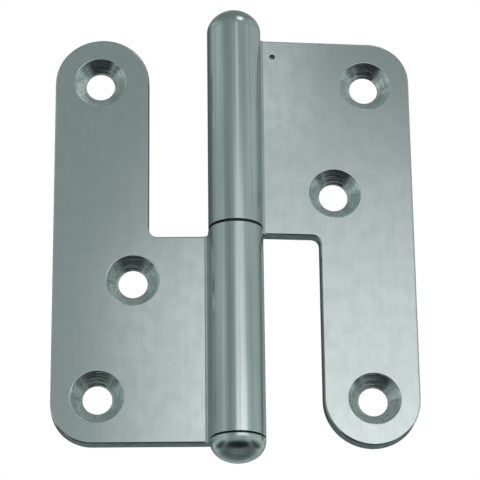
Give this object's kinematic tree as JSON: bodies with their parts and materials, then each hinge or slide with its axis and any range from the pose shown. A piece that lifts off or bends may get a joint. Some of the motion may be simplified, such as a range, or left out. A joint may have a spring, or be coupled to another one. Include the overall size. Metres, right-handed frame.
{
  "type": "lift off hinge",
  "caption": "Lift-off door hinge in stainless steel: L-shaped countersunk leaves rolled round a fixed pin, with domed ends and a thin washer.",
  "frame": {"origin": "on the mounting plane of the frame leaf, its flat back, straight behind the pin axis at the joint between the two knuckles", "axes": "+Z along the pin, the way the door leaf lifts off; +X towards the door leaf; +Y out of the back of the frame leaf, into the door frame that it is screwed to"},
  "size_m": [0.0796, 0.0155, 0.1054],
  "materials": {
    "leaf_steel": "vertically brushed, satin",
    "finial_steel": "turned and polished",
    "pin_steel": "ground",
    "washer_black": "matt"
  },
  "bodies": {
    "frame_half": {"frame_leaf": "leaf_steel", "pin": "pin_steel", "lower_finial": "finial_steel"},
    "washer": {"bearing_washer": "washer_black"},
    "door_half": {"door_leaf": "leaf_steel", "upper_finial": "finial_steel"}
  },
  "joints": [
    {"name": "swing", "type": "hinge", "parent": "frame_half", "child": "washer", "pos_m": [0, -0.006, 0], "axis": [0, 0, 1], "range_deg": [-185, 134]},
    {"name": "lift", "type": "slide", "parent": "washer", "child": "door_half", "axis": [0, 0, 1], "range_m": [0, 0.04]}
  ]
}
